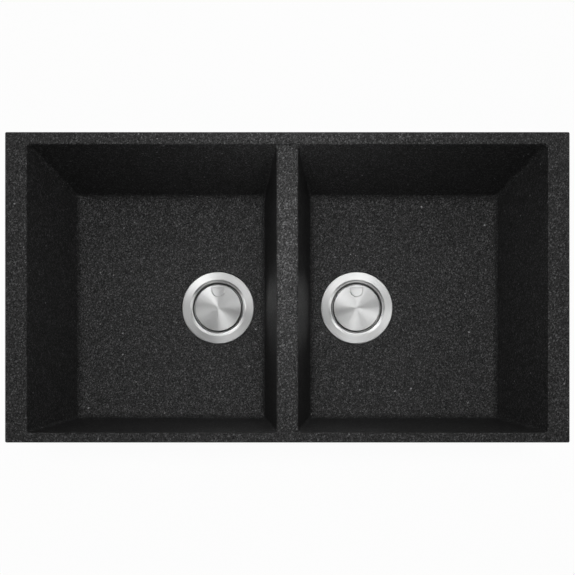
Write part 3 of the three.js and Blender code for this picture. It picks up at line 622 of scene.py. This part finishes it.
def recess_outline(inset, steps=28):
    """The D of the finger recess: straight towards the edge of the cover and round towards its middle."""
    outer, half = RECESS_OUTER - inset, RECESS_HALF_WIDTH - inset
    round_end = RECESS_OUTER - RECESS_STRAIGHT
    length = round_end - RECESS_INNER - inset
    top = [(half - RECESS_CORNER * (1 - math.cos(a)), outer - RECESS_CORNER * (1 - math.sin(a)))
           for a in quarter_turn(RECESS_STEPS)]
    points = top + [(-x, y) for x, y in reversed(top)]
    for k in range(steps + 1):
        angle = math.pi * (1 + k / steps)
        points.append((half * math.cos(angle), round_end + length * math.sin(angle)))
    return points


def draped_recess(inset, below):
    """The outline of the recess laid on the domed top of the cover and then lowered."""
    return [(x, y, dome(math.hypot(x, y)) - below) for x, y in recess_outline(inset)]


def cover():
    top = [(COVER_RADIUS * k / DOME_STEPS, dome(COVER_RADIUS * k / DOME_STEPS)) for k in range(DOME_STEPS)]
    inside = COVER_RADIUS - COVER_SHEET
    # The last corner only gives the direction from which the first one is rounded, and is then dropped.
    section = top + rounded([
        (COVER_RADIUS, dome(COVER_RADIUS), COVER_EDGE), (COVER_RADIUS, COVER_FOOT, 0.3),
        (inside, COVER_FOOT, 0.3), (inside, -1.6, 0.6), (0, -1.2), (0, -1.1)])[:-1]
    recess = [[(x, y, RECESS_FOOT * (1 - math.cos(a)) - RECESS_DEPTH)
               for x, y in recess_outline(RECESS_DRAFT + RECESS_FOOT * (1 - math.sin(a)))]
              for a in quarter_turn(RECESS_STEPS)]
    recess += [draped_recess(-RECESS_LIP * (1 - math.cos(a)), RECESS_LIP * (1 - math.sin(a)))
               for a in quarter_turn(RECESS_STEPS)]
    recess.append([(x, y, OVERRUN) for x, y in recess_outline(-RECESS_LIP)])
    sheet_below = loft([[(x, y, z) for x, y in recess_outline(inset)]
                        for inset, z in ((0.6, -3.4), (0.2, -3.2), (-0.7, -1), (-0.7, -0.6))])
    return combined(combined(lathe(section), sheet_below, "UNION"), loft(recess), "DIFFERENCE")


def cover_clip():
    """The socket under the cover, grooved round its outside."""
    socket_top, flange, flange_foot = -2.7, 13, -2.8
    clip = lathe(rounded([
        (0, socket_top), (STEM_HOLE, socket_top), (STEM_HOLE, CLIP_END, 0.5), (CLIP_RADIUS, CLIP_END, 0.8),
        (CLIP_RADIUS, flange_foot, 1), (flange, flange_foot, 0.4), (flange, CLIP_TOP, 0.4), (0, CLIP_TOP),
    ]), SMALL_ROUND)
    groove = loft([rectangle((8.2, 12, -0.7, 0.7), 0.2, z, 2) for z in (-15, -5)])
    return combined(clip, around(groove, CLIP_GROOVES), "DIFFERENCE")


# ---------------------------------------------------------------- node materials


class Nodes:
    """A short way to add and link the nodes of one material or world."""

    def __init__(self, owner, output="ShaderNodeOutputMaterial"):
        owner.use_nodes = True
        self.owner = owner
        self.tree = owner.node_tree
        self.tree.nodes.clear()
        self.output = self.add(output)

    def add(self, kind, values=None, links=None, **settings):
        node = self.tree.nodes.new(kind)
        for key, value in settings.items():
            setattr(node, key, value)
        for key, value in (values or {}).items():
            node.inputs[key].default_value = value
        for key, source in (links or {}).items():
            self.tree.links.new(source, node.inputs[key])
        return node

    def feed(self, socket, value):
        """Links a socket to another one, or gives it a number or a colour."""
        if isinstance(value, bpy.types.NodeSocket):
            self.tree.links.new(value, socket)
        elif isinstance(value, tuple):
            socket.default_value = (*value, 1)
        else:
            socket.default_value = value

    def math(self, operation, *values):
        """A calculation with numbers and sockets."""
        node = self.add("ShaderNodeMath", operation=operation)
        for socket, value in zip(node.inputs, values):
            self.feed(socket, value)
        return node.outputs[0]

    def ramp(self, source, *stops):
        node = self.add("ShaderNodeValToRGB", links={"Fac": source})
        elements = node.color_ramp.elements
        while len(elements) < len(stops):
            elements.new(0.5)
        for element, (at, value) in zip(elements, stops):
            element.position = at
            element.color = (value, value, value, 1)
        return node.outputs["Color"]

    def noise(self, place, scale, detail=4.0, roughness=0.5):
        return self.add("ShaderNodeTexNoise", {"Scale": scale, "Detail": detail, "Roughness": roughness},
                        {"Vector": place}).outputs["Fac"]

    def mix(self, factor, a, b):
        """Mixes two colours, each a value or a socket."""
        node = self.add("ShaderNodeMix", data_type="RGBA")
        for socket, value in zip((node.inputs["Factor"], node.inputs[6], node.inputs[7]), (factor, a, b)):
            self.feed(socket, value)
        return node.outputs[2]

    def surface(self, shader):
        self.tree.links.new(shader.outputs[0], self.output.inputs["Surface"])
        return self.owner

    def principled(self, values, links):
        return self.surface(self.add("ShaderNodeBsdfPrincipled", values, links))


def material_nodes(name):
    return Nodes(bpy.data.materials.new(name))


def composite_material():
    """Matt black stone composite, its surface a dense mix of near-black, grey and a few pale grains."""
    n = material_nodes("black_composite")
    place = n.add("ShaderNodeTexCoord").outputs["Object"]
    clouds = n.noise(place, 1000.0, 4.0, 0.8)
    base = n.ramp(clouds, (0.31, 0.001), (0.50, 0.020), (0.69, 0.090))
    cells = n.add("ShaderNodeTexVoronoi", {"Scale": 700.0, "Randomness": 1.0}, {"Vector": place})
    dark = n.mix(n.ramp(cells.outputs["Color"], (0.14, 0.9), (0.42, 0.0)), base, (0.005, 0.005, 0.005))
    grey = n.mix(n.ramp(cells.outputs["Color"], (0.68, 0.0), (0.90, 0.95)), dark, (0.105, 0.105, 0.107))
    grains = n.add("ShaderNodeTexVoronoi", {"Scale": 480.0, "Randomness": 1.0}, {"Vector": place})
    pale = n.mix(n.ramp(grains.outputs["Color"], (0.95, 0.0), (0.975, 1.0)), grey, (0.24, 0.24, 0.245))
    height = n.noise(place, 1500.0, 3.0, 0.6)
    bump = n.add("ShaderNodeBump", {"Strength": 0.15, "Distance": 0.0003}, {"Height": height})
    rough = n.ramp(clouds, (0.3, 0.48), (0.7, 0.60))
    return n.principled({"Specular IOR Level": 0.12},
                        {"Base Color": pale, "Roughness": rough, "Normal": bump.outputs[0]})


def spun_steel(name, base, streaks, roughness, anisotropy):
    """Stainless steel with fine marks round the axis of the piece."""
    n = material_nodes(name)
    place = n.add("ShaderNodeTexCoord").outputs["Object"]
    parts = n.add("ShaderNodeSeparateXYZ", links={0: place})
    flat = n.add("ShaderNodeCombineXYZ", links={"X": parts.outputs["X"], "Y": parts.outputs["Y"]})
    radius = n.add("ShaderNodeVectorMath", links={0: flat.outputs[0]}, operation="LENGTH")
    rings = n.add("ShaderNodeCombineXYZ", links={"X": radius.outputs["Value"], "Z": parts.outputs["Z"]})
    marks = n.noise(rings.outputs[0], 3200.0, 4.0, 0.7)
    broad = n.noise(rings.outputs[0], 500.0, 2.0, 0.5)
    low, high = (tuple(c * f for c in base) for f in (1 - streaks, 1 + streaks * 0.6))
    colour = n.mix(n.ramp(marks, (0.3, 0.0), (0.7, 1.0)), low, high)
    wear = n.mix(n.ramp(broad, (0.35, 0.0), (0.65, 0.35)), colour, tuple(c * 0.93 for c in base))
    rough = n.ramp(marks, (0.25, roughness - 0.04), (0.75, roughness + 0.05))
    bump = n.add("ShaderNodeBump", {"Strength": 0.05, "Distance": 0.00005}, {"Height": marks})
    tangent = n.add("ShaderNodeTangent", direction_type="RADIAL", axis="Z")
    return n.principled({"Metallic": 1.0, "Anisotropic": anisotropy, "Anisotropic Rotation": 0.25},
                        {"Base Color": wear, "Roughness": rough, "Normal": bump.outputs[0],
                         "Tangent": tangent.outputs[0]})


def moulded(name, low, high, roughness, scale=600.0, metallic=0.0):
    """Moulded plastic or rubber, or turned brass, with a faint grain and slight changes of shade."""
    n = material_nodes(name)
    place = n.add("ShaderNodeTexCoord").outputs["Object"]
    shade = n.mix(n.ramp(n.noise(place, 40.0, 3.0), (0.3, 0.0), (0.7, 1.0)), low, high)
    grain = n.noise(place, scale, 4.0, 0.6)
    rough = n.ramp(grain, (0.3, roughness - 0.06), (0.7, roughness + 0.06))
    bump = n.add("ShaderNodeBump", {"Strength": 0.12, "Distance": 0.0002}, {"Height": grain})
    return n.principled({"Metallic": metallic},
                        {"Base Color": shade, "Roughness": rough, "Normal": bump.outputs[0]})


MATERIALS = {
    "composite": composite_material(),
    "brushed_steel": spun_steel("brushed_steel", (0.78, 0.785, 0.78), 0.10, 0.30, 0.75),
    "cover_steel": spun_steel("spun_cover_steel", (0.78, 0.785, 0.78), 0.07, 0.31, 0.95),
    "white_plastic": moulded("white_plastic", (0.80, 0.80, 0.78), (0.84, 0.84, 0.82), 0.45),
    "brass": moulded("brass", (0.68, 0.50, 0.24), (0.74, 0.57, 0.30), 0.32, 1500.0, 1.0),
    "rubber": moulded("rubber", (0.018, 0.018, 0.018), (0.028, 0.028, 0.028), 0.68, 900.0),
}
NODE_SLOTS = {part["node"]: part["material_slot"] for part in frame["record"]["subparts"]}
NODE_BODIES = {node: body for body, nodes in frame["record"]["behaviour"]["bodies"].items() for node in nodes}
for node_name, node in frame["nodes"].items():
    node.data.materials.clear()
    node.data.materials.append(MATERIALS[NODE_SLOTS[node_name]])

# ---------------------------------------------------------------- the finished pieces


def finished(name, node, solid, place=(0, 0, 0), material=None):
    """Makes a solid into a piece in metres, with smooth normals and its material, in place of its node."""
    item = mesh_object(name, solid)
    for vertex in item.data.vertices:
        vertex.co *= MM
    item.location = Vector(place) * MM
    for face in item.data.polygons:
        face.use_smooth = True
    item.data.set_sharp_from_angle(angle=SHARP_ANGLE)
    modifier = item.modifiers.new("normals", "WEIGHTED_NORMAL")
    modifier.weight = NORMAL_WEIGHT
    modifier.keep_sharp = True
    mesh = evaluated_mesh(item)
    item.modifiers.clear()
    item.data = mesh
    mesh.materials.clear()
    mesh.materials.append(MATERIALS[material or NODE_SLOTS[node]])
    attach(item, NODE_BODIES[node])
    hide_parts(node)


finished("sink_body_moulded", "sink_body", sink_body())
WASTE_PIECES = (strainer_flange, flange_seal, underside_seal, waste_body, clamp_screw, basket, basket_seal,
                seal_washer, stem, stem_grip, cover, cover_clip)
for make in WASTE_PIECES:
    piece_name, piece_solid = make.__name__, make()
    for label, side_sign in SIDES.items():
        finished(f"{label}_{piece_name}_made", f"{label}_{piece_name}", piece_solid,
                 (side_sign * DRAIN_X, DRAIN_Y, FLANGE_TOP), "cover_steel" if piece_name == "cover" else None)

# ---------------------------------------------------------------- floor, world and lamps

# Metres: half the floor's width, and how far it lies below the object. The rest are shares of full white.
FLOOR_REACH, FLOOR_GAP = 8, 0.0005
FLOOR_GREY, FLOOR_WHITE_SHARE = 0.85, 0.95
WORLD_DIFFUSE = 0.004

# A lamp: its place and target in metres, the side of its square and its power in watts.
KEY_LAMP = (0, 0.05, 3.3), (0, 0, 0.3), 0.5, 60
NEAR_LAMP = (0, 0.05, 0.5), (0, 0.05, 0.3), 0.15, 0.55
SIDE_LAMP_DISTANCE, SIDE_LAMP_HEIGHT, SIDE_LAMP_SIZE, SIDE_LAMP_POWER = 1.6, 0.15, 0.18, 9

# A panel: its angle from straight up, its bearing and its width, in degrees, and its strength.
PANEL_LEVEL = 1.05
PANELS = (
    (14, 270, 12, 0.045), (14, 300, 12, 0.015), (14, 60, 12, 0.094), (22, 130, 12, 0.10), (30, 0, 18, 0.172),
    (30, 135, 18, 0.055), (30, 180, 18, 0.05), (30, 76, 18, 0.20), (30, 112, 18, 0.26), (50, 0, 24, 0.052),
    (50, 130, 24, 0.10), (50, 180, 24, 0.351), (50, 45, 24, 0.338),
)


def pale_floor():
    """White to the camera and to metal, and a matt grey that takes the shadow to all other light."""
    signs = (-1, -1), (1, -1), (1, 1), (-1, 1)
    corners = [(x * FLOOR_REACH, y * FLOOR_REACH, -FLOOR_GAP) for x, y in signs]
    floor = mesh_object("floor", (corners, [[0, 1, 2, 3]]))
    n = material_nodes("pale_floor")
    seen = n.add("ShaderNodeLightPath").outputs
    direct = n.math("MAXIMUM", seen["Is Camera Ray"], seen["Is Glossy Ray"])
    share = n.math("MULTIPLY", direct, FLOOR_WHITE_SHARE)
    matt = n.add("ShaderNodeBsdfDiffuse", {"Color": (FLOOR_GREY, FLOOR_GREY, FLOOR_GREY, 1)})
    white = n.add("ShaderNodeEmission", {"Color": (1, 1, 1, 1), "Strength": 1.0})
    both = n.add("ShaderNodeMixShader", links={0: share, 1: matt.outputs[0], 2: white.outputs[0]})
    floor.data.materials.append(n.surface(both))


def studio_world():
    """White to the camera. To metal it is dark overhead and white at the horizon, and it lights faintly."""
    world = bpy.data.worlds.new("studio")
    bpy.context.scene.world = world
    n = Nodes(world, "ShaderNodeOutputWorld")
    seen = n.add("ShaderNodeLightPath").outputs
    place = n.add("ShaderNodeTexCoord").outputs["Generated"]
    upward = n.math("MAXIMUM", n.add("ShaderNodeSeparateXYZ", links={0: place}).outputs["Z"], 0.0)
    level = n.math("POWER", n.math("SUBTRACT", 1.0, upward), 2.0)
    glossy = n.math("MULTIPLY", seen["Is Glossy Ray"], level)
    rest = n.math("MULTIPLY_ADD", seen["Is Diffuse Ray"], WORLD_DIFFUSE, glossy)
    strength = n.math("MAXIMUM", rest, seen["Is Camera Ray"])
    n.surface(n.add("ShaderNodeBackground", {"Color": (1.0, 1.0, 1.0, 1.0)}, {"Strength": strength}))


def light(name, kind, power, rotation):
    item = bpy.data.objects.new(name, bpy.data.lights.new(name, kind))
    item.data.energy = power
    item.rotation_mode = "QUATERNION"
    item.rotation_quaternion = rotation
    bpy.context.scene.collection.objects.link(item)
    return item


def lamp(name, place, target, size, power):
    """A square lamp that the camera and metal don't see."""
    item = light(name, "AREA", power, (Vector(target) - Vector(place)).to_track_quat("-Z", "Y"))
    item.location = place
    item.data.size = size
    item.visible_camera = False
    item.visible_glossy = False


def reflected(name, tilt, bearing, width, strength):
    """A far soft panel that only shows as a reflection."""
    tilt, bearing = math.radians(tilt), math.radians(bearing)
    across = math.sin(tilt)
    direction = Vector((across * math.cos(bearing), across * math.sin(bearing), math.cos(tilt)))
    item = light(name, "SUN", strength * PANEL_LEVEL, direction.to_track_quat("Z", "Y"))
    item.data.angle = math.radians(width)
    item.visible_diffuse = False


pale_floor()
studio_world()
lamp("key", *KEY_LAMP)
lamp("near", *NEAR_LAMP)
for number, (x, y) in enumerate(((1, 0), (-1, 0), (0, 1), (0, -1))):
    side_place = x * SIDE_LAMP_DISTANCE, y * SIDE_LAMP_DISTANCE, SIDE_LAMP_HEIGHT
    lamp(f"side_{number}", side_place, (0, 0, SIDE_LAMP_HEIGHT), SIDE_LAMP_SIZE, SIDE_LAMP_POWER)
for number, panel in enumerate(PANELS):
    reflected(f"panel_{number}", *panel)
